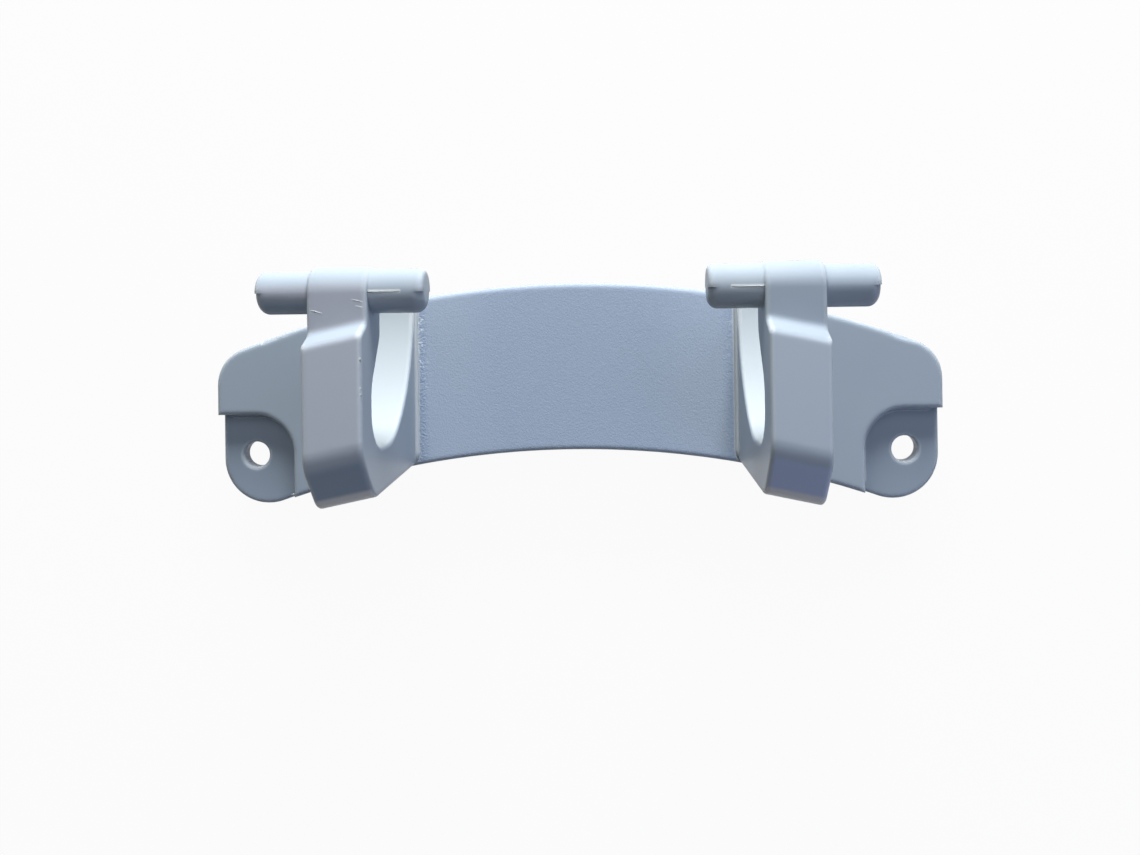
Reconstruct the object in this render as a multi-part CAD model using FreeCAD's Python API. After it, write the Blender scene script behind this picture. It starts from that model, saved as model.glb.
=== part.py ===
"""Washing machine door hinge: a one-piece die casting.

Frame: X runs from screw hole to screw hole, Y from the holes towards the pivot
studs, Z from the back face (Z = 0) towards the gooseneck arms. The origin lies
on the back face, midway between the two screw holes.
"""
import FreeCAD, Part
import math
import os

# Screw ears
HOLE_PITCH = 165.0      # between the two screw holes
HOLE_D = 6.6            # M6 clearance
HOLE_ROUND = 0.5        # rounding at both mouths of a hole
EAR_T = 4.2             # thickness of an ear
EAR_R = 11.4            # outer corner of an ear

# Curved plate
PLATE_END = 8.4         # plate beyond the middle of a screw hole
PLATE_L = HOLE_PITCH + 2 * PLATE_END
PLATE_T = 8.2
CONCAVE_Y = 1.1         # concave edge at mid-length, above the hole line
CONCAVE_R = 228.0
CONVEX_Y = 42.8         # convex edge at mid-length, above the hole line
CONVEX_R = 238.0
END_R = 9.7             # end corners on the convex side
EDGE_ROUND = 1.0        # rounding of the plate's outer edges
EAR_ROUND = 0.8         # rounding of an ear's front edge

# Step from the plate's front down to an ear
STEP_IN = 10.9          # start of the step, in from the screw hole
STEP_X = HOLE_PITCH / 2 - STEP_IN
STEP_Y = 10.6           # end of the step, above the hole line
STEP_R = 10.0

# Gooseneck arms
ARM_IN = 35.6           # middle of an arm, in from the screw hole
ARM_X = HOLE_PITCH / 2 - ARM_IN
ARM_ROOT_W = 13.2       # width at the plate
ARM_DRAFT = 0.8         # narrower by this much at the front face
ARM_FRONT_W = ARM_ROOT_W - ARM_DRAFT
ARM_ROUND = 0.8         # rounding along the side faces
ROOT_DEPTH = 6.0        # an arm reaches this far down into the plate

# Pivot studs and the head that carries them
PIN_Y = 40.5
PIN_Z = 45.3
PIN_D = 8.9
PIN_L = 11.4            # reach of a stud beyond the head
HEAD_R = 5.3            # barrel of the head and half the neck's thickness
STUD_FRONT_ROUND = 1.2  # end rounding, half that faces +Y
STUD_BACK_ROUND = 2.2   # end rounding, half that faces -Y
MISMATCH = 0.4          # offset of the die halves on the inner studs

# Side profile of an arm, taken at the middle of its width
FRONT_RISE = 9.5        # front face above the pin axis
ARM_FRONT_Z = PIN_Z + FRONT_RISE
SPINE_INSET = 0.7       # spine stands in from the plate's concave edge
SPINE_LEAN = 1.5        # degrees, away from the studs
SPINE_RISE = 0.5        # the spine ends here above the pin axis, then slopes to the front
SPINE_BEND_R = 6.0
FRONT_Y0_IN = 34.5      # the front face starts this far from the pin axis
FRONT_BEND_R = 8.0
FRONT_Y1_IN = 9.6       # and ends here, with a ramp down to the neck
NECK_IN = 7.6
RAMP_BEND_R = 1.5

# Throat: a swing clearance round the pin axis, arched over towards the neck
THROAT_FLOOR = 0.9      # its lowest point, above the plate's front
THROAT_R = PIN_Z - PLATE_T - THROAT_FLOOR
THROAT_DROP = 17.8      # the floor turns up into the back this far below the pin axis
THROAT_BACK = 1.9       # the upright back stands this far beyond that turn
ARCH_RISE = 1.7         # top of the arch above the pin axis
ARCH_BACK_R = 8.6
ARCH_IN = 20.0          # the arch slopes down from here, in from the pin axis
ARCH_R = 9.0
ARCH_END_IN = 9.5       # and meets the neck's underside here
ARCH_END_R = 5.0

# Back pockets: sizes are those of the rounded mouths
POCKET_DEPTH = 5.0
POCKET_DRAFT = 6.0      # degrees
POCKET_CORNER = 1.8
POCKET_FLOOR_ROUND = 0.8
MOUTH_ROUND = 0.6
RIM_IN = 4.9            # land along the concave edge
RIM_OUT = 4.0           # land along the convex edge
BAY_IN = 3.6            # middle bays end this far in from the middle of the arm
BAY_GAP = 3.7           # land between the middle groove and its right bays
BAY_GAP_LEFT = 3.0      # and its left bays
BAY_RIB_Y0 = 22.9       # lengthwise rib through the middle bays
BAY_RIB_Y1 = 25.5
CELL_OUT = 8.0          # small cell beside each ear, out from the arm's middle
CELL_STEP = 4.7         # and in from the step
CELL_Y1 = 10.6
WEDGE_OUT = 8.7         # wedge beyond it, out from the arm's middle
WEDGE_END = 5.3         # land between it and the plate's end
WEDGE_Y_IN, WEDGE_Y_OUT = 12.5, 14.2

# Grooves in the back and the hook lugs that bridge them
GROOVE_LEFT_OUT = 3.3   # outer grooves, out from the arm's middle
GROOVE_RIGHT_OUT = 2.7
GROOVE_W = 5.5
GROOVE_DEPTH = 5.0
GROOVE_CORNER = 1.6
GROOVE_RIM = 4.5        # a groove ends this far short of the convex edge
GROOVE_MID_X = 1.9      # the middle groove sits off centre
LUG_SET = 22.7          # middle of a lug, in from the concave edge
LUG_W = 7.4             # along the groove
LUG_POST = 3.2          # post on the land beside the groove
LUG_GAP = 2.3           # slide space between tab and back face
LUG_TAB_T = 3.0
LUG_TIP_W = 4.0
LUG_TIP_TAPER = 3.6     # length of the tab's tapered tip
LUG_TIP_CLEAR = 0.6     # the tab ends this far short of the groove's other side
LUG_ROUND = 0.7


def V(x, y, z=0.0):
    return FreeCAD.Vector(x, y, z)


def arc(a, b, c):
    """Circular edge from a to c through b."""
    return Part.Arc(a, b, c).toShape()


def rounded_path(points, radii):
    """Edges of a path through the points; inner corners get tangent arcs."""
    edges = []
    here = points[0]
    for before, p, after, r in zip(points, points[1:], points[2:], radii):
        u = (before - p).normalize()
        v = (after - p).normalize()
        half = u.getAngle(v) / 2
        reach = r / math.tan(half)
        if (p + u * reach - here).Length > 1e-6:
            edges.append(Part.makeLine(here, p + u * reach))
        if r:
            middle = p + (u + v).normalize() * (r / math.sin(half) - r)
            edges.append(arc(p + u * reach, middle, p + v * reach))
        here = p + v * reach
    edges.append(Part.makeLine(here, points[-1]))
    return edges


def rounded_wire(corners, radii):
    """Closed wire through the corners, each rounded with a tangent arc."""
    start = (corners[-1] + corners[0]) * 0.5
    return Part.Wire(rounded_path([start] + list(corners) + [start], radii))


def mirrored(shape):
    return shape.mirror(V(0, 0, 0), V(1, 0, 0))


def both_sides(shape):
    """The shape and its mirror image across the middle of the plate."""
    return [shape, mirrored(shape)]


def edges_where(shape, test):
    return [e for e in shape.Edges if test(e)]


# ---------------------------------------------------------------- plate

def ear_centre():
    """Centre of the ear corner, tangent to the plate end and the concave edge."""
    x = PLATE_L / 2 - EAR_R
    y = CONCAVE_Y - CONCAVE_R + math.sqrt((CONCAVE_R + EAR_R) ** 2 - x ** 2)
    return V(x, y)


def end_centre():
    """Centre of the end corner, tangent to the plate end and the convex edge."""
    x = PLATE_L / 2 - END_R
    y = CONVEX_Y - CONVEX_R + math.sqrt((CONVEX_R - END_R) ** 2 - x ** 2)
    return V(x, y)


def plate_outline():
    flip = lambda p: V(-p.x, p.y)
    concave_c = V(0, CONCAVE_Y - CONCAVE_R)
    convex_c = V(0, CONVEX_Y - CONVEX_R)
    ear, end = ear_centre(), end_centre()
    # ear corner: from the concave edge, round, to the end line
    u = (ear - concave_c).normalize()
    ear_in = ear - u * EAR_R
    ear_out = V(PLATE_L / 2, ear.y)
    ear_mid = ear + V(math.sin(math.radians(50)), -math.cos(math.radians(50))) * EAR_R
    # end corner: from the end line to the convex edge
    w = (end - convex_c).normalize()
    end_in = V(PLATE_L / 2, end.y)
    end_out = end + w * END_R
    end_mid = end + (V(1, 0) + w).normalize() * END_R
    return Part.Wire([
        arc(flip(ear_in), V(0, CONCAVE_Y), ear_in),
        arc(ear_in, ear_mid, ear_out),
        Part.makeLine(ear_out, end_in),
        arc(end_in, end_mid, end_out),
        arc(end_out, V(0, CONVEX_Y), flip(end_out)),
        arc(flip(end_out), flip(end_mid), flip(end_in)),
        Part.makeLine(flip(end_in), flip(ear_out)),
        arc(flip(ear_out), flip(ear_mid), flip(ear_in)),
    ])


def ear_step():
    """Stock taken off the front of the right ear."""
    far = PLATE_L
    corners = [V(STEP_X, -far, EAR_T), V(far, -far, EAR_T),
               V(far, STEP_Y, EAR_T), V(STEP_X, STEP_Y, EAR_T)]
    wire = rounded_wire(corners, [0, 0, 0, STEP_R])
    return Part.Face(wire).extrude(V(0, 0, PLATE_T))


def plate():
    body = Part.Face(plate_outline()).extrude(V(0, 0, PLATE_T))
    for cut in both_sides(ear_step()):
        body = body.cut(cut)
    rim = edges_where(body, lambda e: lies_at(e, PLATE_T) or lies_at(e, 0))
    body = body.makeFillet(EDGE_ROUND, rim)
    ear_rim = edges_where(body, lambda e: lies_at(e, EAR_T) and not on_step(e))
    return body.makeFillet(EAR_ROUND, ear_rim)


def lies_at(edge, z):
    box = edge.BoundBox
    return abs(box.ZMin - z) < 1e-4 and abs(box.ZMax - z) < 1e-4


def on_step(edge):
    """True for an edge at the foot of the step between plate and ear."""
    p = edge.valueAt((edge.FirstParameter + edge.LastParameter) / 2)
    x, y = abs(p.x), p.y
    if abs(x - STEP_X) < 1e-3 or abs(y - STEP_Y) < 1e-3:
        return True
    return abs(math.hypot(x - STEP_X - STEP_R, y - STEP_Y + STEP_R) - STEP_R) < 1e-3


def concave_y(x):
    return CONCAVE_Y - CONCAVE_R + math.sqrt(CONCAVE_R ** 2 - x ** 2)


def convex_y(x):
    return CONVEX_Y - CONVEX_R + math.sqrt(CONVEX_R ** 2 - x ** 2)


# ----------------------------------------------------------------- arms

def arm_skew():
    """Slope of the plate's concave edge at the arm: the arm's bends follow it."""
    return math.tan(math.asin(ARM_X / CONCAVE_R))


def throat():
    """The space inside an arm's C, straight along X and open beyond the studs."""
    P = lambda y, z: V(0, y, z)
    pin = P(PIN_Y, PIN_Z)
    # floor: concentric with the pin axis
    start = pin - P(0, THROAT_R)
    out = P(-math.sqrt(THROAT_R ** 2 - THROAT_DROP ** 2), -THROAT_DROP)
    turn = pin + out
    middle = pin + (start - pin + out).normalize() * THROAT_R
    # the turn takes the whole tangent, up to the upright back
    along = P(out.z, -out.y).normalize()
    reach = THROAT_BACK / -along.y
    upright = turn + along * reach
    turn_r = reach / math.tan(math.acos(along.z) / 2)
    far, neck_z, arch_z = 2 * PIN_Y, PIN_Z - HEAD_R, PIN_Z + ARCH_RISE
    points = [turn, upright, P(upright.y, arch_z), P(PIN_Y - ARCH_IN, arch_z),
              P(PIN_Y - ARCH_END_IN, neck_z), P(far, neck_z), P(far, start.z), start]
    radii = [turn_r, ARCH_BACK_R, ARCH_R, ARCH_END_R, 0, 0]
    face = Part.Face(Part.Wire([arc(start, middle, turn)] + rounded_path(points, radii)))
    face.translate(V(ARM_X - ARM_ROOT_W, 0, 0))
    return face.extrude(V(2 * ARM_ROOT_W, 0, 0))


def arm_profile():
    """Outside of the gooseneck up to its head, in the plane X = 0."""
    P = lambda y, z: V(0, y, z)
    low, spine_z, neck_z = PLATE_T - ROOT_DEPTH, PIN_Z + SPINE_RISE, PIN_Z + HEAD_R
    foot_y = concave_y(ARM_X) + SPINE_INSET
    lean = math.tan(math.radians(SPINE_LEAN))
    end_y = PIN_Y - HEAD_R / 2
    corners = [
        (P(foot_y, low), 0),
        (P(foot_y - lean * (spine_z - low), spine_z), SPINE_BEND_R),
        (P(PIN_Y - FRONT_Y0_IN, ARM_FRONT_Z), FRONT_BEND_R),
        (P(PIN_Y - FRONT_Y1_IN, ARM_FRONT_Z), RAMP_BEND_R),
        (P(PIN_Y - NECK_IN, neck_z), RAMP_BEND_R),
        (P(end_y, neck_z), 0),
        (P(end_y, low), 0),
    ]
    return Part.Face(rounded_wire(*zip(*corners)))


def skewed(profile):
    """Side profile drawn out across the arm's width, along the plate's slope."""
    reach, skew = ARM_ROOT_W, arm_skew()
    profile.translate(V(ARM_X - reach, reach * skew, 0))
    return profile.extrude(V(2 * reach, -2 * reach * skew, 0)).common(arm_slab())


def arm_slab():
    """Stock between an arm's two drafted side faces, narrow at the front."""
    root, front = ARM_ROOT_W / 2, ARM_FRONT_W / 2
    taper = (root - front) / (ARM_FRONT_Z - PLATE_T)
    low = root + taper * PLATE_T
    high = front - taper * ARM_ROUND
    top = ARM_FRONT_Z + ARM_ROUND
    far = PLATE_L
    ring = [V(ARM_X - low, -far, 0), V(ARM_X + low, -far, 0),
            V(ARM_X + high, -far, top), V(ARM_X - high, -far, top)]
    return Part.Face(Part.makePolygon(ring + ring[:1])).extrude(V(0, 2 * far, 0))


def along_x(radius, x0, x1, end_round=0.0):
    """Round bar on the pin axis from x0 to x1, with its x1 end rounded."""
    bar = Part.makeCylinder(radius, abs(x1 - x0), V(x0, PIN_Y, PIN_Z), V(x1 - x0, 0, 0))
    if end_round:
        at_x1 = lambda e: abs(e.CenterOfMass.x - x1) < 1e-3
        bar = bar.makeFillet(end_round, edges_where(bar, at_x1))
    return bar


def head():
    """Barrel around the pin axis and the straight neck that carries it."""
    barrel = along_x(HEAD_R, ARM_X - ARM_ROOT_W, ARM_X + ARM_ROOT_W)
    y0 = PIN_Y - HEAD_R / 2 - arm_skew() * ARM_ROOT_W
    neck = Part.makeBox(2 * ARM_ROOT_W, PIN_Y - y0, 2 * HEAD_R,
                        V(ARM_X - ARM_ROOT_W, y0, PIN_Z - HEAD_R))
    return barrel.fuse(neck).common(arm_slab())


def stud(x0, x1, mismatch):
    """Stud cast in two halves; the half that faces +Y sits off by the mismatch."""
    size = 8 * PIN_L
    outer_half = Part.makeBox(size, size, size, V(x0 - size / 2, PIN_Y, PIN_Z - size / 2))
    inner_half = outer_half.translated(V(0, -size, 0))
    front = along_x(PIN_D / 2, x0, x1, STUD_FRONT_ROUND).common(outer_half)
    if mismatch:
        parting = [f for f in front.Faces if abs(f.CenterOfMass.y - PIN_Y) < 1e-6]
        fill = parting[0].extrude(V(0, mismatch, 0))
        front = front.translated(V(0, mismatch, 0)).fuse(fill)
    back = along_x(PIN_D / 2, x0, x1, STUD_BACK_ROUND).common(inner_half)
    return front.fuse(back)


def arm():
    """Right arm with its head and studs."""
    limb = skewed(arm_profile()).cut(throat())
    limb = limb.fuse(head()).removeSplitter()
    limb = limb.makeFillet(ARM_ROUND, edges_where(limb, is_rounded))
    tip = ARM_FRONT_W / 2 + PIN_L
    outer = stud(ARM_X, ARM_X + tip, 0.0)
    inner = stud(ARM_X, ARM_X - tip, MISMATCH)
    return limb.fuse([outer, inner]).removeSplitter()


def on_side_face(edge):
    """True for an edge that lies in one of the arm's two drafted side faces."""
    taper = (ARM_ROOT_W - ARM_FRONT_W) / 2 / (ARM_FRONT_Z - PLATE_T)
    for t in (0.1, 0.5, 0.9):
        p = edge.valueAt(edge.FirstParameter + t * (edge.LastParameter - edge.FirstParameter))
        half = ARM_FRONT_W / 2 + taper * (ARM_FRONT_Z - p.z)
        if abs(abs(p.x - ARM_X) - half) > 1e-4:
            return False
    return True


def is_rounded(edge):
    """Side edges are rounded, apart from the crisp ones along the throat floor."""
    centre = edge.CenterOfMass
    return on_side_face(edge) and (centre.z > PIN_Z - THROAT_DROP or centre.y < 0)


# ----------------------------------------------------------- back face

def inset(corners, d):
    """Corners of a convex anticlockwise outline after moving its sides in by d."""
    out = []
    n = len(corners)
    for i, p in enumerate(corners):
        u = (p - corners[i - 1]).normalize()
        v = (corners[(i + 1) % n] - p).normalize()
        nu, nv = V(-u.y, u.x), V(-v.y, v.x)
        out.append(p + (nu + nv) * (d / (1 + nu.dot(nv))))
    return out


def drafted_block(corners):
    """Block that narrows from the mouth outline down to a pocket's floor."""
    slope = math.tan(math.radians(POCKET_DRAFT))
    rings = []
    for z in (-1.0, POCKET_DEPTH):
        ring = [V(p.x, p.y, z) for p in inset(corners, slope * z + MOUTH_ROUND)]
        rings.append(Part.makePolygon(ring + ring[:1]))
    return Part.makeLoft(rings, True, True)


def rim_cone(centre_y, radius, grow):
    """Drafted round wall, radius at the back face, growing into the plate."""
    slope = grow * math.tan(math.radians(POCKET_DRAFT))
    z0, z1 = -1.0, POCKET_DEPTH
    return Part.makeCone(radius + slope * z0, radius + slope * z1, z1 - z0, V(0, centre_y, z0))


def pocket(x0, x1, ya, yb, yc, yd):
    """Pocket between x0 and x1. Its -Y side runs from ya to yb and its +Y side
    from yc to yd; the lands along both edges of the plate trim it."""
    block = drafted_block([V(x0, ya), V(x1, yb), V(x1, yd), V(x0, yc)])
    inner = rim_cone(CONCAVE_Y - CONCAVE_R, CONCAVE_R + RIM_IN + MOUTH_ROUND, 1)
    outer = rim_cone(CONVEX_Y - CONVEX_R, CONVEX_R - RIM_OUT - MOUTH_ROUND, -1)
    block = block.cut(inner).common(outer)
    upright = edges_where(block, lambda e: e.BoundBox.ZLength > POCKET_DEPTH)
    block = block.makeFillet(POCKET_CORNER, upright)
    floor = edges_where(block, lambda e: lies_at(e, POCKET_DEPTH))
    return block.makeFillet(POCKET_FLOOR_ROUND, floor)


def back_pockets():
    low, high = -PLATE_L / 4, PLATE_L / 4      # beyond both lands
    bay = ARM_X - BAY_IN
    right_of_groove = GROOVE_MID_X + GROOVE_W / 2 + BAY_GAP
    left_of_groove = GROOVE_MID_X - GROOVE_W / 2 - BAY_GAP_LEFT
    tools = []
    for x0, x1 in ((-bay, left_of_groove), (right_of_groove, bay)):
        tools.append(pocket(x0, x1, low, low, BAY_RIB_Y0, BAY_RIB_Y0))
        tools.append(pocket(x0, x1, BAY_RIB_Y1, BAY_RIB_Y1, high, high))
    tools += both_sides(pocket(ARM_X + CELL_OUT, STEP_X - CELL_STEP, low, low, CELL_Y1, CELL_Y1))
    tools += both_sides(pocket(ARM_X + WEDGE_OUT, PLATE_L / 2 - WEDGE_END,
                               WEDGE_Y_IN, WEDGE_Y_OUT, high, high))
    return tools


def groove(x):
    """Groove across the back, open at the concave edge."""
    x0, x1 = x - GROOVE_W / 2, x + GROOVE_W / 2
    end = convex_y(x) - GROOVE_RIM
    corners = [V(x0, -PLATE_L), V(x1, -PLATE_L), V(x1, end), V(x0, end)]
    wire = rounded_wire(corners, [0, 0, GROOVE_CORNER, GROOVE_CORNER])
    tool = Part.Face(wire).extrude(V(0, 0, GROOVE_DEPTH + 1))
    tool.translate(V(0, 0, -1))
    return tool


def lug(x):
    """Hook lug: a post beside the groove at x with a tab that bridges it."""
    y = concave_y(x) + LUG_SET
    wall = x + GROOVE_W / 2
    tip = x - GROOVE_W / 2 + LUG_TIP_CLEAR
    w, t = LUG_W / 2, LUG_TIP_W / 2
    corners = [V(wall + LUG_POST, y - w), V(wall + LUG_POST, y + w),
               V(tip + LUG_TIP_TAPER, y + w), V(tip, y + t),
               V(tip, y - t), V(tip + LUG_TIP_TAPER, y - w)]
    tall = LUG_GAP + LUG_TAB_T
    hook = Part.Face(rounded_wire(corners, [1.0, 1.0, 2.0, 0.8, 0.8, 2.0])).extrude(V(0, 0, tall + 1))
    hook.translate(V(0, 0, -tall))
    outer = edges_where(hook, lambda e: lies_at(e, -tall))
    hook = hook.makeFillet(LUG_ROUND, outer)
    slide = Part.makeBox(GROOVE_W + 1, LUG_W + 2, LUG_GAP + 1.5, V(wall - GROOVE_W - 1, y - w - 1, -LUG_GAP))
    return hook.cut(slide)


def screw_hole(x):
    return Part.makeCylinder(HOLE_D / 2, PLATE_T + 2, V(x, 0, -1))


def main():
    os.makedirs("parts", exist_ok=True)
    hinge = plate()
    hinge = hinge.fuse(both_sides(arm()))
    hinge = hinge.cut(back_pockets())
    mouths = edges_where(hinge, lambda e: lies_at(e, 0) and not near_outline(e))
    hinge = hinge.makeFillet(MOUTH_ROUND, mouths)
    holes = [screw_hole(s * HOLE_PITCH / 2) for s in (-1, 1)]
    hinge = hinge.cut(holes)
    hole_mouths = edges_where(hinge, is_hole_mouth)
    hinge = hinge.makeFillet(HOLE_ROUND, hole_mouths)
    lines = (-ARM_X - GROOVE_LEFT_OUT, GROOVE_MID_X, ARM_X + GROOVE_RIGHT_OUT)
    hinge = hinge.cut([groove(x) for x in lines])
    hinge = hinge.fuse([lug(x) for x in lines])
    hinge = hinge.removeSplitter()
    hinge.exportStep("parts/hinge_casting.step")


def near_outline(edge):
    """True for an edge of the back face that belongs to the plate's outline."""
    p = edge.valueAt((edge.FirstParameter + edge.LastParameter) / 2)
    land = min(p.y - concave_y(p.x), convex_y(p.x) - p.y, PLATE_L / 2 - abs(p.x))
    return land < EDGE_ROUND + 0.5


def is_hole_mouth(edge):
    curve = edge.Curve
    return (isinstance(curve, Part.Circle) and abs(curve.Radius - HOLE_D / 2) < 1e-6
            and abs(abs(curve.Center.x) - HOLE_PITCH / 2) < 1e-6)


main()
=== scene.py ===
"""Looks of a die-cast door hinge: satin paint, cast fillets and marks, white floor, light, camera."""

import bmesh
import bpy
import math
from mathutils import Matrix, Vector


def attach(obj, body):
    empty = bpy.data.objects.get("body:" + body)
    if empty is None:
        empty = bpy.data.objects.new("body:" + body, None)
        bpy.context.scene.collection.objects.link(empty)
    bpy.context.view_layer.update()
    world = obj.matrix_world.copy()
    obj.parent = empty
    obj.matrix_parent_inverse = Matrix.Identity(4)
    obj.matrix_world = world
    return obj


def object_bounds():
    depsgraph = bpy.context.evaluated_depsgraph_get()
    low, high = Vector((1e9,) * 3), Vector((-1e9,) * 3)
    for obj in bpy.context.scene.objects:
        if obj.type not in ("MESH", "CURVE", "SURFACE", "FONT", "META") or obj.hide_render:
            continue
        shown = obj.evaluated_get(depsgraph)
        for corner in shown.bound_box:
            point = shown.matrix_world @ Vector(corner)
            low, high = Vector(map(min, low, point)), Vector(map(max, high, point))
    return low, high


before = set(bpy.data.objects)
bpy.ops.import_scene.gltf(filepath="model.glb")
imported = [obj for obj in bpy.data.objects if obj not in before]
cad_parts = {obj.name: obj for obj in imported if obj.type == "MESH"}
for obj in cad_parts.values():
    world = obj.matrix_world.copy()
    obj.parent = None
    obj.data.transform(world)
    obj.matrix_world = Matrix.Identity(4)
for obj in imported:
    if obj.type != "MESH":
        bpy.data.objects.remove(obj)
cad_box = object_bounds()
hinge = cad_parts["hinge_casting"]

MM = 0.001
WHITE = (1.0, 1.0, 1.0)
CORNER_RAYS = 6
SIDES = (("left", -1), ("right", 1))

# Sizes shared with the part, in millimetres
ARM_X, ARM_HALF = 46.9, 6.6
PLATE_Z = 8.2
CONCAVE_Y, CONCAVE_R = 1.1, 228.0
CONVEX_Y, CONVEX_R = 42.8, 238.0
PIN_Y, PIN_Z, PIN_R = 40.5, 45.3, 4.45
HEAD_R, HEAD_HALF = 5.3, 6.24
STEP_X, STEP_Y, STEP_R = 71.6, 10.6, 10.0
EAR_Z, EAR_END = 4.2, 90.9
FRONT_Z = 54.8

# The arms' outer edge seen from the front: one of its points, and its fall for each millimetre outwards
EDGE_X, EDGE_Y, EDGE_FALL = 41.24, -2.92, 0.2056


def concave_y(x):
    return CONCAVE_Y - CONCAVE_R + math.sqrt(CONCAVE_R ** 2 - x ** 2)


def convex_y(x):
    return CONVEX_Y - CONVEX_R + math.sqrt(CONVEX_R ** 2 - x ** 2)


# Nodes that every material uses

def new_material(name):
    mat = bpy.data.materials.new(name)
    mat.use_nodes = True
    tree = mat.node_tree
    tree.nodes.clear()
    return mat, tree


def link(tree, start, end):
    tree.links.new(start, end)


def value(tree, operation, *terms):
    node = tree.nodes.new("ShaderNodeMath")
    node.operation = operation
    for socket, term in zip(node.inputs, terms):
        if isinstance(term, (int, float)):
            socket.default_value = term
        else:
            link(tree, term, socket)
    return node.outputs[0]


def ramp(tree, amount, low, high):
    """0 below low, 1 above high, smooth between."""
    node = tree.nodes.new("ShaderNodeMapRange")
    node.interpolation_type = "SMOOTHSTEP"
    node.inputs["From Min"].default_value = low
    node.inputs["From Max"].default_value = high
    link(tree, amount, node.inputs["Value"])
    return node.outputs["Result"]


def axes(tree, vector):
    node = tree.nodes.new("ShaderNodeSeparateXYZ")
    link(tree, vector, node.inputs[0])
    return [node.outputs[axis] for axis in "XYZ"]


def noise(tree, coords, scale, detail, roughness):
    node = tree.nodes.new("ShaderNodeTexNoise")
    node.inputs["Scale"].default_value = scale
    node.inputs["Detail"].default_value = detail
    node.inputs["Roughness"].default_value = roughness
    link(tree, coords, node.inputs["Vector"])
    return node.outputs["Fac"]


def mix_colour(tree, share, under, over):
    node = tree.nodes.new("ShaderNodeMix")
    node.data_type = "RGBA"
    link(tree, share, node.inputs[0])
    for socket, colour in ((node.inputs[6], under), (node.inputs[7], over)):
        if isinstance(colour, tuple):
            socket.default_value = (*colour, 1.0)
        else:
            link(tree, colour, socket)
    return node.outputs[2]


def bump(tree, height, strength, depth, normal):
    """Relief on a normal, with its depth in millimetres."""
    node = tree.nodes.new("ShaderNodeBump")
    node.inputs["Strength"].default_value = strength
    node.inputs["Distance"].default_value = depth * MM
    link(tree, height, node.inputs["Height"])
    link(tree, normal, node.inputs["Normal"])
    return node.outputs["Normal"]


def covered(tree, distance, inside):
    """Share of the directions, outside the metal or inside it, that meet a surface this near."""
    node = tree.nodes.new("ShaderNodeAmbientOcclusion")
    node.inside = inside
    node.samples = CORNER_RAYS
    node.inputs["Distance"].default_value = distance * MM
    return value(tree, "SUBTRACT", 1.0, node.outputs["AO"])


def output(tree, kind, surface):
    link(tree, surface, tree.nodes.new(kind).inputs["Surface"])


# The two colours of the satin paint's soft clouds, in linear light
CLOUD_TONES = (0.272, 0.326, 0.394), (0.300, 0.354, 0.418)

# Tones laid over the clouds: how strongly each one covers, and its colour
TONES = {
    "centre": (1.0, (0.290, 0.366, 0.486)),
    # painted light: paler toward the arms, where they shade the plate
    "centre_sides_painted_light": (0.80, (0.330, 0.404, 0.516)),
    # painted shade: darker wings, the left one more, as the light falls off to the left
    "right_wing_shade": (0.50, (0.240, 0.295, 0.366)),
    "left_wing_shade": (0.70, (0.236, 0.290, 0.358)),
    # painted shade in the corner beside each arm's root
    "arm_root_shade": (0.45, (0.232, 0.310, 0.446)),
    # painted shadow of the step on the screw ears
    "ear": (0.80, (0.222, 0.276, 0.352)),
    "arm_front": (1.0, (0.352, 0.414, 0.500)),
    "left_arm_front": (0.85, (0.358, 0.396, 0.466)),
    "left_neck": (0.75, (0.300, 0.318, 0.382)),
    "right_neck": (0.75, (0.232, 0.284, 0.356)),
    # painted blue light on the right arm's downward bend
    "right_bend_blue_light": (0.75, (0.440, 0.520, 0.750)),
    # painted shade on the left arm's downward bend
    "left_bend_shade": (0.70, (0.190, 0.262, 0.360)),
    # painted highlight inside the throat
    "throat": (0.80, (0.395, 0.448, 0.486)),
    # painted warm reflection along the arms' outer bend edge
    "warm_reflection": (0.92, (0.720, 0.700, 0.670)),
    # painted highlight on the convex edges
    "edge_highlight": (0.75, (0.640, 0.700, 0.735)),
    # painted shade in the inner corners
    "corner_shade": (0.55, (0.150, 0.170, 0.205)),
    # painted highlight on the root fillets and the raised marks
    "pale_highlight": (1.0, (0.520, 0.585, 0.640)),
    "fleck": (0.85, (0.600, 0.660, 0.720)),
}

# Fades of the masks, in millimetres: where each starts and where it is full
CENTRE_SIDES = (16.0, 33.0)
CENTRE_END = (39.2, 40.0)
ROOT_PATCH = (36.2, 38.9)
PITS_FADE = (-10.0, 10.0)
FLECKS_RISE = (12.0, 26.0)
ARM_START = (39.0, 42.0)
WING_START = (53.0, 56.0)
ARM_FRONT = (51.5, 54.0)
BEND_END = (12.0, 16.0)
THROAT_DEEP = (2.0, 6.0)
REFLECTION_STRIP = (1.7, 2.9)

# Bands of the masks, in millimetres: from, to, and how far each fades past both
PLATE_FRONT = (PLATE_Z - 0.3, PLATE_Z + 0.4, 0.3)
EAR_FRONT = (EAR_Z - 0.6, EAR_Z + 0.6, 0.3)
NECK = (49.0, 51.2, 1.0)
RIGHT_BEND = (46.0, 60.0, 1.5)
LEFT_BEND = (44.0, 60.0, 1.5)
REFLECTION_BEND = (44.5, 60.0, 1.5)
THROAT_WIDE = (40.0, 53.8, 0.3)
THROAT_TALL = (9.0, 42.0, 1.0)

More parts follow.
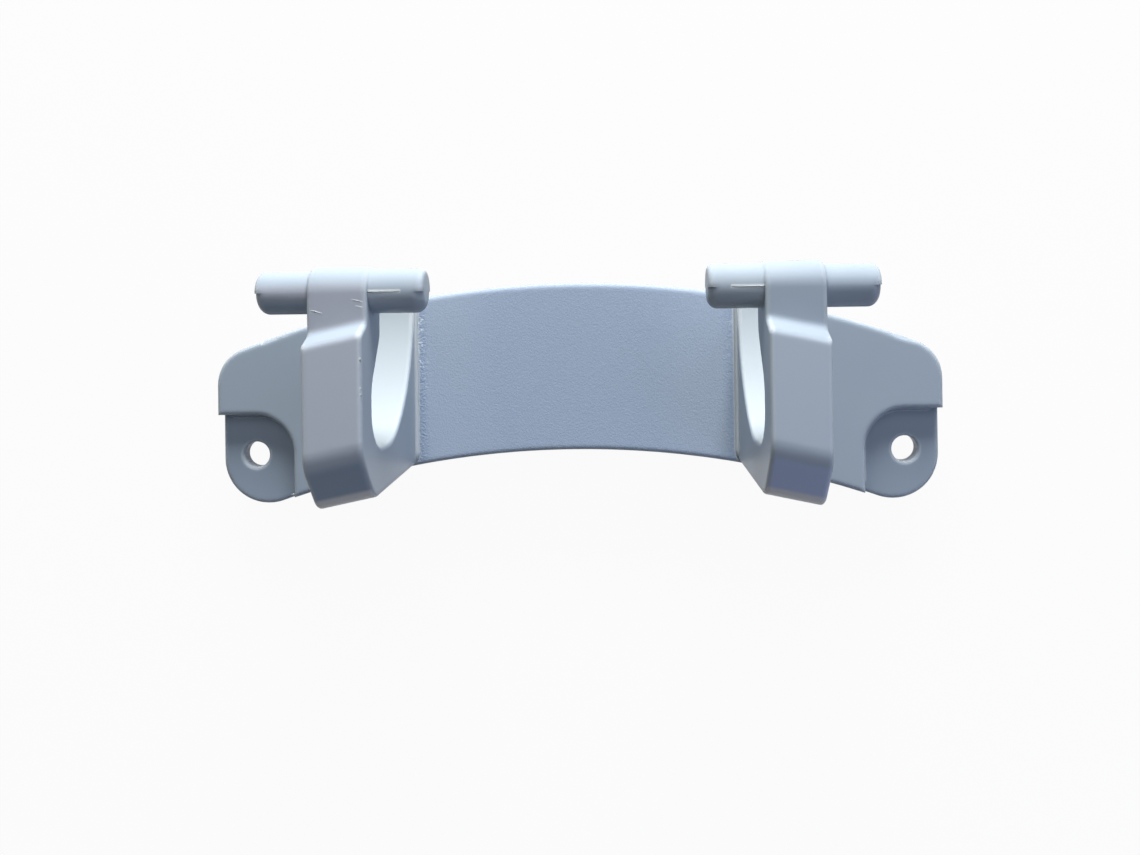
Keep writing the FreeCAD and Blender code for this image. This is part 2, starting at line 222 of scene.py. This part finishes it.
# How squarely a face looks along an axis: where a mask starts and where it is full
PLATE_FACING = (0.85, 0.97)
ARM_FACING = (0.75, 0.98)
NECK_FACING = (0.90, 0.995)
RIGHT_BEND_FACING = (0.35, 0.60)
LEFT_BEND_FACING = (0.35, 0.66)
REFLECTION_FACING = (0.35, 0.55)
THROAT_FACING = (0.4, 0.8)

# Amounts of a noise, or of covered directions, where a mask starts and where it is full
CLOUD_TURN = (0.35, 0.65)
CLOUD_GLOSS = (0.3, 0.7)
PORE_OPENS = (0.58, 0.64)
EDGE_CORNER = (0.17, 0.36)
SHADE_CORNER = (0.25, 0.95)

# Noises: scale for each metre, detail and roughness
CLOUDS = (26.0, 3.0, 0.55)
PORES = (1000.0, 2.0, 0.5)
STIPPLE = (2500.0, 3.0, 0.7)
COARSE = (1900.0, 2.0, 0.6)
SKIN = (380.0, 2.0, 0.5)

# Reliefs: strength, and depth in millimetres
STIPPLE_RELIEF = (0.55, 0.14)
COARSE_RELIEF = (0.85, 0.30)
SKIN_RELIEF = (0.12, 0.07)

# Distances from which rounding, the painted edge highlight and the painted corner shade are worked out, in
# millimetres
EDGE_ROUND = 1.4
SHADE_REACH = 3.0

RIGHT_PITS_LOSS = 0.7       # share of the pits and flecks that the right root lacks
HIGHLIGHT_CLOUDS = 0.3           # what the clouds add to the share of the painted highlight
ROUGHNESS = 0.40
CENTRE_ROUGHNESS = 0.10     # added between the arms
CLOUD_ROUGHNESS = 0.05      # added in the clouds
# share of the painted highlight in the paler paint
HIGHLIGHT_COAT = 0.35


class Surface:
    """Where a point of the casting lies and which way it faces, and the colour laid on it so far."""

    def __init__(self, tree):
        self.tree = tree
        self.coords = tree.nodes.new("ShaderNodeTexCoord").outputs["Object"]
        normal = tree.nodes.new("ShaderNodeNewGeometry").outputs["Normal"]
        self.x, self.y, self.z = axes(tree, self.coords)
        self.face_x, self.face_y, self.face_z = axes(tree, normal)
        self.from_middle = value(tree, "ABSOLUTE", self.x)
        self.face_minus_y = value(tree, "MULTIPLY", self.face_y, -1.0)
        self.front = self.where_all(self.band(self.z, PLATE_FRONT), ramp(tree, self.face_z, *PLATE_FACING))
        self.centre = self.where_all(self.front, self.outside(self.past(self.from_middle, CENTRE_END)))
        self.root = self.where_all(self.centre, self.past(self.from_middle, ROOT_PATCH))
        lost = value(tree, "MULTIPLY", self.past(self.x, PITS_FADE), RIGHT_PITS_LOSS)
        self.pitted = self.where_all(self.root, self.outside(lost))
        self.cloud = noise(tree, self.coords, *CLOUDS)
        self.colour = mix_colour(tree, ramp(tree, self.cloud, *CLOUD_TURN), *CLOUD_TONES)

    def past(self, distance, fade):
        """0 before the fade and 1 past it, the fade being in millimetres."""
        start, full = fade
        return ramp(self.tree, distance, start * MM, full * MM)

    def band(self, distance, limits):
        """1 inside the limits, which are in millimetres, and fading past both."""
        low, high, fade = limits
        above = self.past(distance, (high, high + fade))
        return self.where_all(self.past(distance, (low - fade, low)), self.outside(above))

    def toward(self, side, fade):
        """1 past a distance from the middle, on the left for -1 and on the right for 1."""
        return self.past(value(self.tree, "MULTIPLY", self.x, side), fade)

    def where_all(self, first, *others):
        """Where all the masks are 1."""
        for other in others:
            first = value(self.tree, "MULTIPLY", first, other)
        return first

    def outside(self, mask):
        """Where the mask is 0."""
        return value(self.tree, "SUBTRACT", 1.0, mask)

    def lay(self, tone, mask):
        """Lay a tone over the colour where the mask is 1."""
        share, colour = TONES[tone]
        self.colour = mix_colour(self.tree, value(self.tree, "MULTIPLY", mask, share), self.colour, colour)


def plate_tones(at):
    """Bluer between the arms; painted light, paler toward the arms; painted shade, darker at the wings, the
    arms' roots and the screw ears.
    """
    at.lay("centre", at.centre)
    # Painted light: paler toward the arms
    at.lay("centre_sides_painted_light", at.where_all(at.centre, at.past(at.from_middle, CENTRE_SIDES)))
    # Painted shade: darker wings, the left one more
    at.lay("right_wing_shade", at.where_all(at.front, at.toward(1, WING_START)))
    at.lay("left_wing_shade", at.where_all(at.front, at.toward(-1, WING_START)))
    # Painted shade beside the arms' roots
    at.lay("arm_root_shade", at.root)
    # Painted shadow of the step on the screw ears
    at.lay("ear", at.where_all(at.band(at.z, EAR_FRONT), ramp(at.tree, at.face_z, *PLATE_FACING)))


def arm_tones(at):
    """Paler fronts, necks between them and the heads, painted blue light on the right arm's downward bend and
    painted shade on the left one's.
    """
    left, right = at.toward(-1, ARM_START), at.toward(1, ARM_START)
    front = at.where_all(at.past(at.z, ARM_FRONT), ramp(at.tree, at.face_z, *ARM_FACING))
    at.lay("arm_front", front)
    at.lay("left_arm_front", at.where_all(left, front))
    neck = at.where_all(at.band(at.z, NECK), ramp(at.tree, at.face_z, *NECK_FACING))
    at.lay("left_neck", at.where_all(left, neck))
    at.lay("right_neck", at.where_all(right, neck))
    # Painted blue light on the right arm's downward bend
    bend = at.where_all(at.band(at.z, RIGHT_BEND), ramp(at.tree, at.face_minus_y, *RIGHT_BEND_FACING))
    at.lay("right_bend_blue_light", at.where_all(right, bend, at.outside(at.past(at.y, BEND_END))))
    # Painted shade on the left arm's downward bend
    bend = at.where_all(at.band(at.z, LEFT_BEND), ramp(at.tree, at.face_minus_y, *LEFT_BEND_FACING))
    at.lay("left_bend_shade", at.where_all(left, bend))


def throat_highlight(at):
    """Painted highlight, paler inside the throat, away from its side faces."""
    sideways = ramp(at.tree, value(at.tree, "ABSOLUTE", at.face_x), *THROAT_FACING)
    wide, tall = at.band(at.from_middle, THROAT_WIDE), at.band(at.z, THROAT_TALL)
    at.lay("throat", at.where_all(wide, tall, at.past(at.y, THROAT_DEEP), at.outside(sideways)))


def bend_warm_reflection(at):
    """Painted warm reflection in a strip along the outer edge of the arms' downward bend."""
    outwards = value(at.tree, "SUBTRACT", at.from_middle, EDGE_X * MM)
    above = value(at.tree, "SUBTRACT", at.y, EDGE_Y * MM)
    inset = value(at.tree, "ADD", above, value(at.tree, "MULTIPLY", outwards, EDGE_FALL))
    bend = at.where_all(at.band(at.z, REFLECTION_BEND), ramp(at.tree, at.face_minus_y, *REFLECTION_FACING))
    at.lay("warm_reflection", at.where_all(bend, at.outside(at.past(inset, REFLECTION_STRIP))))


def edge_highlight_and_corner_shade(at):
    """Painted highlight on the convex edges, and painted shade in the inner corners."""
    at.lay("edge_highlight", ramp(at.tree, covered(at.tree, EDGE_ROUND, True), *EDGE_CORNER))
    at.lay("corner_shade", ramp(at.tree, covered(at.tree, SHADE_REACH, False), *SHADE_CORNER))


def root_flecks(at):
    """Bright flecks beside the arms' roots, weaker at the right one."""
    pores = ramp(at.tree, noise(at.tree, at.coords, *PORES), *PORE_OPENS)
    at.lay("fleck", at.where_all(pores, at.pitted, at.past(at.y, FLECKS_RISE)))


def cast_relief(at):
    """Rounded edges, stipple between the arms, coarser grain at their roots, and a slightly wavy skin."""
    rounded = at.tree.nodes.new("ShaderNodeBevel")
    rounded.samples = CORNER_RAYS
    rounded.inputs["Radius"].default_value = EDGE_ROUND * MM
    stipple = at.where_all(noise(at.tree, at.coords, *STIPPLE), at.centre)
    coarse = at.where_all(noise(at.tree, at.coords, *COARSE), at.pitted)
    normal = bump(at.tree, stipple, *STIPPLE_RELIEF, rounded.outputs[0])
    normal = bump(at.tree, coarse, *COARSE_RELIEF, normal)
    return bump(at.tree, noise(at.tree, at.coords, *SKIN), *SKIN_RELIEF, normal)


def satin_roughness(at):
    """Rougher between the arms, and a little in the clouds."""
    centre = value(at.tree, "MULTIPLY", at.centre, CENTRE_ROUGHNESS)
    clouds = value(at.tree, "MULTIPLY", ramp(at.tree, at.cloud, *CLOUD_GLOSS), CLOUD_ROUGHNESS)
    return value(at.tree, "ADD", value(at.tree, "ADD", centre, ROUGHNESS), clouds)


def satin_paint(name, highlight_share=0.0):
    """Grey-blue satin paint on a die casting, made paler by a painted highlight where a share is given."""
    mat, tree = new_material(name)
    at = Surface(tree)
    plate_tones(at)
    arm_tones(at)
    throat_highlight(at)
    bend_warm_reflection(at)
    edge_highlight_and_corner_shade(at)
    # Painted highlight: paler all over, a little more in the clouds
    if highlight_share:
        at.lay("pale_highlight", value(tree, "ADD", value(tree, "MULTIPLY", at.cloud, HIGHLIGHT_CLOUDS), highlight_share))
    root_flecks(at)
    shader = tree.nodes.new("ShaderNodeBsdfPrincipled")
    shader.inputs["Metallic"].default_value = 0.0
    shader.inputs["IOR"].default_value = 1.5
    shader.inputs["Specular IOR Level"].default_value = 0.28
    shader.inputs["Coat Weight"].default_value = 0.10
    shader.inputs["Coat Roughness"].default_value = 0.3
    link(tree, at.colour, shader.inputs["Base Color"])
    link(tree, satin_roughness(at), shader.inputs["Roughness"])
    link(tree, cast_relief(at), shader.inputs["Normal"])
    output(tree, "ShaderNodeOutputMaterial", shader.outputs[0])
    return mat


paint = satin_paint("satin_paint")
# Paler copy of the paint, a painted highlight, for the root fillets and the marks on front faces
highlight_paint = satin_paint("highlight_paint", HIGHLIGHT_COAT)


def dress_casting(finish):
    hinge.data.materials.clear()
    hinge.data.materials.append(finish)
    for poly in hinge.data.polygons:
        poly.use_smooth = True
        poly.material_index = 0
    smooth = hinge.modifiers.new("shade", "WEIGHTED_NORMAL")
    smooth.keep_sharp = True


dress_casting(paint)


# Small cast features, in millimetres

def mesh_piece(name, verts, faces, finish):
    mesh = bpy.data.meshes.new(name)
    mesh.from_pydata([tuple(c * MM for c in vert) for vert in verts], [], faces)
    shell = bmesh.new()
    shell.from_mesh(mesh)
    bmesh.ops.recalc_face_normals(shell, faces=shell.faces)
    shell.to_mesh(mesh)
    shell.free()
    mesh.materials.append(finish)
    for poly in mesh.polygons:
        poly.use_smooth = True
    obj = bpy.data.objects.new(name, mesh)
    bpy.context.scene.collection.objects.link(obj)
    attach(obj, "root")


def tube(name, sections, finish):
    """Closed solid through a run of closed sections with as many points each."""
    width = len(sections[0])
    verts = [vert for section in sections for vert in section]
    first = range(width)
    last = range(len(verts) - width, len(verts))
    faces = [tuple(reversed(first)), tuple(last)]
    for start in range(0, len(verts) - width, width):
        for k in range(width):
            a, b = start + k, start + (k + 1) % width
            faces.append((a, b, b + width, a + width))
    mesh_piece(name, verts, faces, finish)


FILLET_SUNK = 0.3       # how deep the back of a fillet lies in the metal
FILLET_RING = 7         # points on its hollow side


def hollow(radius, foot_z):
    """Section of a fillet: how far out from its wall, and how high, its back being sunk in the metal."""
    under_z = foot_z - FILLET_SUNK
    section = [(-FILLET_SUNK, foot_z + radius), (-FILLET_SUNK, under_z), (radius, under_z)]
    for k in range(FILLET_RING):
        turn = math.pi / 2 * k / (FILLET_RING - 1)
        section.append((radius - radius * math.sin(turn), foot_z + radius - radius * math.cos(turn)))
    return section


ROOT_FILLET_R = 0.85
ROOT_FILLET_END = 0.9   # from the plate's edge
ROOT_FILLET_FADE = 2.5  # length over which it grows to its full radius
ROOT_FILLET_TIP = 0.12  # share of the radius at its ends
ROOT_FILLET_STEPS = 40


def root_fillet(name, wall_x, out):
    """Cast fillet where an arm's side face meets the front of the plate, thinner at both ends."""
    y0 = concave_y(wall_x) + ROOT_FILLET_END
    y1 = convex_y(wall_x) - ROOT_FILLET_END
    sections = []
    for i in range(ROOT_FILLET_STEPS + 1):
        t = i / ROOT_FILLET_STEPS
        y = y0 + (y1 - y0) * (0.5 - 0.5 * math.cos(math.pi * t))
        radius = ROOT_FILLET_R * min(1.0, ROOT_FILLET_TIP + math.sqrt(min(y - y0, y1 - y) / ROOT_FILLET_FADE))
        sections.append([(wall_x + out * off, y, z) for off, z in hollow(radius, PLATE_Z)])
    # The fillet takes the paler paint, a painted highlight
    tube(name, sections, highlight_paint)


STEP_FILLET_R = 0.9
STEP_FILLET_END = 1.0   # from the plate's edge, and from the ear's end
STEP_FILLET_TIP = 0.15  # share of the radius at its ends, and what each point from there adds
STEP_FILLET_RISE = 0.45
STEP_FILLET_STEPS = (12, 16, 10)


def step_wall():
    """Points along the foot of the right step, each with the way its wall faces."""
    turn_x, turn_y = STEP_X + STEP_R, STEP_Y - STEP_R
    start = concave_y(STEP_X) + STEP_FILLET_END
    end = EAR_END - STEP_FILLET_END
    inward, round_turn, along = STEP_FILLET_STEPS
    points = []
    for k in range(inward):
        points.append((STEP_X, start + (turn_y - start) * k / inward, 1, 0))
    for k in range(round_turn + 1):
        angle = math.radians(180 - 90 * k / round_turn)
        cos, sin = math.cos(angle), math.sin(angle)
        points.append((turn_x + STEP_R * cos, turn_y + STEP_R * sin, -cos, -sin))
    for k in range(1, along + 1):
        points.append((turn_x + (end - turn_x) * k / along, STEP_Y, 0, -1))
    return points


def step_fillet(name, s):
    """Cast fillet at the foot of the step between the plate's front and a screw ear."""
    points = step_wall()
    sections = []
    for i, (x, y, face_x, face_y) in enumerate(points):
        ends = min(i, len(points) - 1 - i)
        section = hollow(STEP_FILLET_R * min(1.0, STEP_FILLET_TIP + STEP_FILLET_RISE * ends), EAR_Z)
        sections.append([(s * (x + face_x * off), y + face_y * off, z) for off, z in section])
    tube(name, sections, paint)


FLASH_FOOT = (-0.22, 0.42)
FLASH_CREST = (-0.05, 0.08)
FLASH_SUNK = 0.15
FLASH_HEIGHT = 0.13
FLASH_WAVE = 0.15       # share of its height that swells and sinks along it
FLASH_WAVES = 9
FLASH_LENGTH = 6.8
FLASH_STEPS = 18


def parting_flash(name, s):
    """Thin flash along the crown of an inner stud, where the two die halves met."""
    start = s * (ARM_X - HEAD_HALF)
    end = start - s * FLASH_LENGTH
    crown = PIN_Z + PIN_R
    sections = []
    for i in range(FLASH_STEPS + 1):
        t = i / FLASH_STEPS
        x = start + (end - start) * t
        swell = 1 - FLASH_WAVE + FLASH_WAVE * math.sin(FLASH_WAVES * t)
        top = crown + FLASH_HEIGHT * (1 - t ** 3) * swell
        sections.append([(x, PIN_Y + FLASH_FOOT[0], crown - FLASH_SUNK), (x, PIN_Y + FLASH_CREST[0], top),
                         (x, PIN_Y + FLASH_CREST[1], top), (x, PIN_Y + FLASH_FOOT[1], crown - FLASH_SUNK)])
    tube(name, sections, paint)


BURR_SUNK = 0.05
BURR_BLUNT = 0.02       # keeps its tips from being sharp
BURR_CREST = 0.5        # share of its width at the top
BURR_STEPS = 10


def burr(name, middle, run, width, height, out, finish):
    """Low ridge of metal left on a face that looks along Z (out 1) or against it (out -1)."""
    middle, run = Vector(middle), Vector(run)
    across = run.cross(Vector((0, 0, 1))).normalized() * width / 2
    foot = Vector((0, 0, -BURR_SUNK * out))
    crest = Vector((0, 0, height * out))
    sections = []
    for i in range(BURR_STEPS + 1):
        t = 2 * i / BURR_STEPS - 1
        swell = math.sqrt(1 + BURR_BLUNT - t * t)
        spot, half, top = middle + run * t, across * swell, crest * swell
        narrow = half * BURR_CREST
        corners = (spot - half + foot, spot + half + foot, spot + narrow + top, spot - narrow + top)
        sections.append([tuple(corner) for corner in corners])
    tube(name, sections, finish)


# Marks left by the die: name, middle, half its run, width, height, side of the face that it stands on
HEAD_TOP = PIN_Z + HEAD_R
NICK_Z = FRONT_Z - 0.26
CHIP_Z = PLATE_Z - 0.05
MARKS = [
    ("flow_line_a", (-51.0, 36.5, HEAD_TOP), (1.29, -0.35, 0.0), 0.40, 0.04, 1),
    ("flow_line_b", (-42.6, 38.7, HEAD_TOP), (1.25, -0.27, 0.0), 0.36, 0.04, 1),
    ("flow_line_c", (-42.2, 37.5, HEAD_TOP), (0.75, -0.10, 0.0), 0.28, 0.03, 1),
    ("nick_a", (-41.00, 26.8, NICK_Z), (0.02, 0.50, 0.0), 0.50, 0.16, 1),
    ("nick_b", (-41.00, 21.0, NICK_Z), (0.0, 0.30, 0.0), 0.36, 0.12, 1),
    ("nick_c", (-40.98, 19.7, NICK_Z), (0.0, 0.36, 0.0), 0.32, 0.12, 1),
    ("chip_left_step", (-71.75, -9.55, CHIP_Z), (0.40, 0.22, 0.0), 0.50, 0.18, 1),
    ("blob_a", (-74.0, 10.7, 0.0), (0.45, 0.05, 0.0), 0.80, 0.14, -1),
    ("blob_b", (-76.8, 12.0, 0.0), (0.40, -0.10, 0.0), 0.70, 0.12, -1),
    ("blob_c", (-75.5, 12.4, 0.0), (0.30, 0.05, 0.0), 0.55, 0.10, -1),
    ("scratch", (86.6, 7.6, 0.0), (3.3, -0.25, 0.0), 0.16, 0.05, -1),
    ("flash_left_a", (-46.6, 5.4, 0.0), (-0.10, 2.8, 0.0), 0.34, 0.12, -1),
    ("flash_left_b", (-53.1, 2.2, 0.0), (0.10, 3.6, 0.0), 0.26, 0.10, -1),
    ("flash_left_c", (-53.0, 10.2, 0.0), (0.05, 1.3, 0.0), 0.30, 0.12, -1),
    ("flash_middle", (-0.7, 23.5, 0.0), (0.10, 1.2, 0.0), 0.26, 0.10, -1),
    ("flash_right", (46.6, 19.2, 0.0), (0.10, 1.6, 0.0), 0.28, 0.10, -1),
]

for side, s in SIDES:
    root_fillet("root_fillet_%s_inner" % side, s * (ARM_X - ARM_HALF), -s)
    root_fillet("root_fillet_%s_outer" % side, s * (ARM_X + ARM_HALF), s)
for side, s in SIDES:
    step_fillet("step_fillet_%s" % side, s)
    parting_flash("stud_flash_%s" % side, s)
# Marks on front faces take the paler paint, a painted highlight
for label, middle, run, width, height, out in MARKS:
    burr("mark_%s" % label, middle, run, width, height, out, highlight_paint if out > 0 else paint)


# Floor, light and camera
FLOOR_REACH = 1.5
FLOOR_GAP = 0.05 * MM
FLOOR_GREY = 0.50
FLOOR_GLOW = 0.95


def glow(tree, kind, colour, strength):
    node = tree.nodes.new(kind)
    node.inputs["Color"].default_value = (*colour, 1.0)
    node.inputs["Strength"].default_value = strength
    return node.outputs[0]


def seen_share(tree, share, unseen, seen):
    """Mix in the seen shader for what the camera sees, directly, mirrored or through glass."""
    rays = tree.nodes.new("ShaderNodeLightPath").outputs
    image = value(tree, "MAXIMUM", rays["Is Camera Ray"], rays["Is Glossy Ray"])
    image = value(tree, "MAXIMUM", image, rays["Is Transmission Ray"])
    mixer = tree.nodes.new("ShaderNodeMixShader")
    link(tree, value(tree, "MULTIPLY", image, share), mixer.inputs[0])
    link(tree, unseen, mixer.inputs[1])
    link(tree, seen, mixer.inputs[2])
    return mixer.outputs[0]


def white_floor():
    """Floor that reads white in an image and keeps a soft share of the shadow."""
    mat, tree = new_material("white_floor")
    shader = tree.nodes.new("ShaderNodeBsdfDiffuse")
    shader.inputs["Color"].default_value = (FLOOR_GREY, FLOOR_GREY, FLOOR_GREY, 1.0)
    white = glow(tree, "ShaderNodeEmission", WHITE, 1.0)
    output(tree, "ShaderNodeOutputMaterial", seen_share(tree, FLOOR_GLOW, shader.outputs[0], white))
    return mat


def lay_floor():
    """Square floor just under the lowest point of the casting."""
    z = cad_box[0][2] - FLOOR_GAP
    corners = [(-FLOOR_REACH, -FLOOR_REACH, z), (FLOOR_REACH, -FLOOR_REACH, z),
               (FLOOR_REACH, FLOOR_REACH, z), (-FLOOR_REACH, FLOOR_REACH, z)]
    mesh = bpy.data.meshes.new("floor")
    mesh.from_pydata(corners, [], [(0, 1, 2, 3)])
    mesh.materials.append(white_floor())
    floor = bpy.data.objects.new("floor", mesh)
    bpy.context.scene.collection.objects.link(floor)


LIGHT_TARGET = (0, 0.02, 0.02)
SKY, SKY_STRENGTH = (0.80, 0.88, 1.0), 0.06

# Area lights: name, place and size in metres, watts, colour, and whether the paint mirrors it
# The window isn't mirrored, because low views would see it glare in the plate
LIGHTS = [
    ("window", (0.03, 0.66, 0.185), (0.45, 0.26), 11.6, (1.0, 0.985, 0.955), False),
    ("above", (0.05, 0.42, 0.76), (0.8, 0.5), 2.15, WHITE, True),
    ("blue_fill", (0.34, -0.16, 0.21), (0.24, 0.24), 0.32, (0.46, 0.60, 1.0), True),
]


def area_light(name, place, size, watts, colour, mirrored):
    data = bpy.data.lights.new(name, "AREA")
    data.shape = "RECTANGLE"
    data.size, data.size_y = size
    data.energy = watts
    data.color = colour
    obj = bpy.data.objects.new(name, data)
    obj.location = place
    obj.visible_glossy = mirrored
    obj.rotation_euler = (Vector(LIGHT_TARGET) - Vector(place)).to_track_quat("-Z", "Y").to_euler()
    bpy.context.scene.collection.objects.link(obj)


def studio_world():
    """White behind the part in an image, and a dim blue sky for its light."""
    world = bpy.data.worlds.new("studio")
    bpy.context.scene.world = world
    world.use_nodes = True
    tree = world.node_tree
    tree.nodes.clear()
    dim = glow(tree, "ShaderNodeBackground", SKY, SKY_STRENGTH)
    white = glow(tree, "ShaderNodeBackground", WHITE, 1.0)
    output(tree, "ShaderNodeOutputWorld", seen_share(tree, 1.0, dim, white))


lay_floor()
for light in LIGHTS:
    area_light(*light)
studio_world()

# The camera looks almost straight down on the front, from 235 mm above the plate's back face
WIDTH, HEIGHT = 1140, 855           # pixels
FOCAL = 907.58                      # pixels
AXIS_X, AXIS_Y = 591.09, 304.36     # pixel where the view axis meets the frame
PLACE = (10.805, 36.885, 234.828)   # millimetres
TURN = (0.1049, 1.6927, -0.8024)    # degrees
SENSOR = 36.0                       # millimetres
CLIP_START = 0.01                   # metres


def photo_camera():
    data = bpy.data.cameras.new("camera")
    data.sensor_fit = "HORIZONTAL"
    data.sensor_width = SENSOR
    data.lens = FOCAL / WIDTH * SENSOR
    data.shift_x = (WIDTH / 2 - AXIS_X) / WIDTH
    data.shift_y = (AXIS_Y - HEIGHT / 2) / WIDTH
    data.clip_start = CLIP_START
    camera = bpy.data.objects.new("camera", data)
    camera.location = [c * MM for c in PLACE]
    camera.rotation_euler = [math.radians(a) for a in TURN]
    bpy.context.scene.collection.objects.link(camera)
    bpy.context.scene.camera = camera


photo_camera()
bpy.context.scene.view_settings.view_transform = "Standard"
